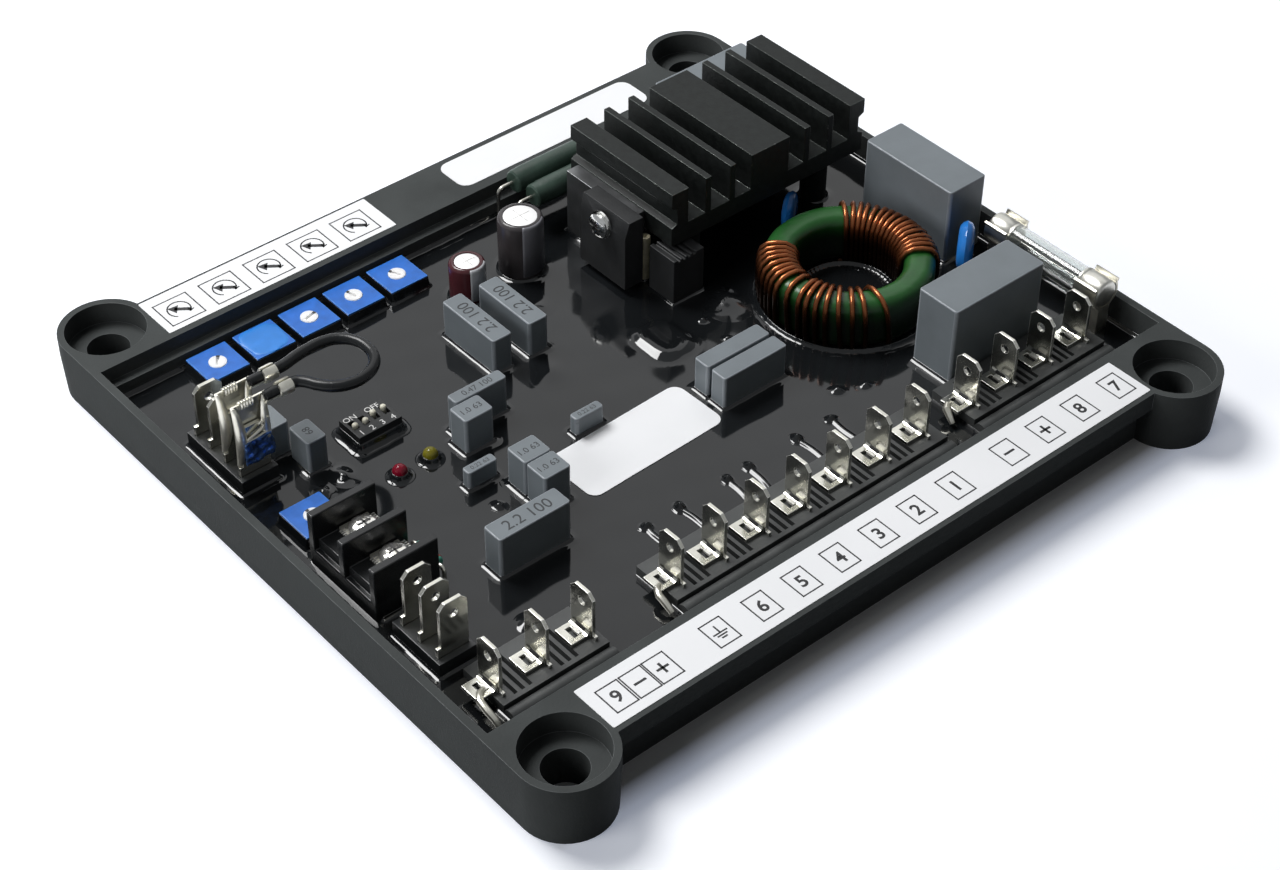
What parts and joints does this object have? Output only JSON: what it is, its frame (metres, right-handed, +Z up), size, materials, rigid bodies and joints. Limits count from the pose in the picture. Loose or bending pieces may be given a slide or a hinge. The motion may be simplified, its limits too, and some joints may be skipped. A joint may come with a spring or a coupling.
{
  "type": "voltage regulator",
  "caption": "Open potted voltage regulator module in a flat moulded tray with corner bolt bosses, finned heat sink, ring choke, trimmers, fuse and rows of flat push-on tabs.",
  "frame": {"origin": "on the floor under the centre of the tray", "axes": "+X along the front terminal row, +Y towards the trimmer row, +Z up out of the tray"},
  "size_m": [0.18, 0.17, 0.0326],
  "materials": {
    "tray_plastic": "fine moulded texture",
    "board_laminate": "solder mask",
    "potting": "glossy poured resin",
    "black_aluminium": "black anodised",
    "bare_aluminium": "satin",
    "black_epoxy": "moulded epoxy",
    "steel_screw": "zinc plated",
    "cream_ceramic": "satin",
    "green_core": "green coating",
    "copper_wire": "enamelled copper",
    "grey_case": "satin",
    "maroon_sleeve": "shrunk sleeve",
    "dark_sleeve": "shrunk sleeve",
    "green_cement": "coated",
    "blue_disc": "glossy epoxy coat",
    "green_resistor": "coated",
    "fuse_glass": "clear",
    "tin_plate": "bright tin plate",
    "black_nylon": "moulded",
    "wire_sleeve": "satin",
    "trimmer_blue": "moulded",
    "rotor_white": "moulded",
    "lamp_red": "tinted clear epoxy",
    "lamp_green": "tinted clear epoxy"
  },
  "bodies": {
    "regulator": {"tray": "tray_plastic", "circuit_board": "board_laminate", "potting_resin": "potting", "heat_sink": "black_aluminium", "sink_posts": "black_aluminium", "sink_bracket": "bare_aluminium", "power_transistor": "black_epoxy", "clamp_screw": "steel_screw", "bridge_module": "black_epoxy", "spacer_post": "cream_ceramic", "choke_core": "green_core", "choke_winding_back": "copper_wire", "choke_winding_front": "copper_wire", "film_capacitors_back": "grey_case", "film_capacitor_slim": "grey_case", "film_capacitors_square": "grey_case", "film_capacitors_thin": "grey_case", "film_capacitor_front": "grey_case", "film_capacitors_middle": "grey_case", "film_capacitor_side": "grey_case", "film_capacitor_large": "grey_case", "film_capacitor_rear": "grey_case", "film_capacitors_small": "grey_case", "can_capacitor_small": "maroon_sleeve", "can_capacitor_large": "dark_sleeve", "wirewound_resistors": "green_cement", "disc_varistors": "blue_disc", "axial_resistor": "green_resistor", "fuse_tube": "fuse_glass", "fuse_caps": "tin_plate", "fuse_clips": "tin_plate", "strip_left": "black_nylon", "strip_middle": "black_nylon", "strip_right": "black_nylon", "tabs_left": "tin_plate", "tabs_middle": "tin_plate", "tabs_right": "tin_plate", "back_header": "black_nylon", "back_header_tabs": "tin_plate", "front_header": "black_nylon", "front_header_tabs": "tin_plate", "receptacles": "tin_plate", "jumper_wire": "wire_sleeve", "barrier_block": "black_nylon", "clamp_plates": "tin_plate", "terminal_screws": "steel_screw", "trimmer_bodies": "trimmer_blue", "trimmer_seal": "trimmer_blue", "switch_body": "black_nylon", "lamp_red": "lamp_red", "lamp_green": "lamp_green"},
    "rotor_1_part": {"rotor_1": "rotor_white"},
    "rotor_3_part": {"rotor_3": "rotor_white"},
    "rotor_4_part": {"rotor_4": "rotor_white"},
    "rotor_5_part": {"rotor_5": "rotor_white"},
    "rotor_6_part": {"rotor_6": "rotor_white"},
    "slider_1_part": {"slider_1": "rotor_white"},
    "slider_2_part": {"slider_2": "rotor_white"},
    "slider_3_part": {"slider_3": "rotor_white"},
    "slider_4_part": {"slider_4": "rotor_white"}
  },
  "joints": [
    {"name": "rotor_1_turn", "type": "hinge", "parent": "regulator", "child": "rotor_1_part", "pos_m": [-0.06581, 0.0555, 0.009], "axis": [0, 0, 1], "range_deg": [-105, 175]},
    {"name": "rotor_3_turn", "type": "hinge", "parent": "regulator", "child": "rotor_3_part", "pos_m": [-0.04295, 0.0555, 0.009], "axis": [0, 0, 1], "range_deg": [-64, 216]},
    {"name": "rotor_4_turn", "type": "hinge", "parent": "regulator", "child": "rotor_4_part", "pos_m": [-0.03152, 0.0555, 0.009], "axis": [0, 0, 1], "range_deg": [-155, 125]},
    {"name": "rotor_5_turn", "type": "hinge", "parent": "regulator", "child": "rotor_5_part", "pos_m": [-0.02009, 0.0555, 0.009], "axis": [0, 0, 1], "range_deg": [-166, 114]},
    {"name": "rotor_6_turn", "type": "hinge", "parent": "regulator", "child": "rotor_6_part", "pos_m": [-0.0772, 0.0052, 0.009], "axis": [0, 0, 1], "range_deg": [-150, 130]},
    {"name": "slider_1_slide", "type": "slide", "parent": "regulator", "child": "slider_1_part", "axis": [0, 1, 0], "range_m": [0, 0.001]},
    {"name": "slider_2_slide", "type": "slide", "parent": "regulator", "child": "slider_2_part", "axis": [0, 1, 0], "range_m": [0, 0.001]},
    {"name": "slider_3_slide", "type": "slide", "parent": "regulator", "child": "slider_3_part", "axis": [0, 1, 0], "range_m": [-0.001, 0]},
    {"name": "slider_4_slide", "type": "slide", "parent": "regulator", "child": "slider_4_part", "axis": [0, 1, 0], "range_m": [-0.001, 0]}
  ]
}
